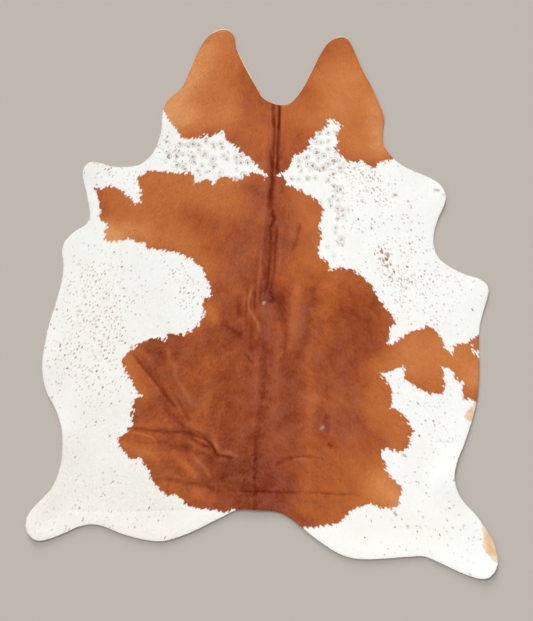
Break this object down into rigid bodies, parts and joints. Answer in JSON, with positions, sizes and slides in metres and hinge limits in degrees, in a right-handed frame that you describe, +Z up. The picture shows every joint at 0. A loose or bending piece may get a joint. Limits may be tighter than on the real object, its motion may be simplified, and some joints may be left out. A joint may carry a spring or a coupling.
{
  "type": "cowhide rug",
  "caption": "Whole hair-on hide with neck lobes, leg lobes and shallow folds, lying flat as a floor rug.",
  "frame": {"origin": "on the floor, below the middle of the hide's bounding box", "axes": "+Y from the tail to the neck, +X to the right of the hide seen from above with its neck up, +Z up"},
  "size_m": [1.884, 2.196, 0.0092],
  "materials": {
    "haired_hide": "short glossy hair, brown and white"
  },
  "bodies": {
    "root": {"hide": "haired_hide"}
  },
  "joints": []
}
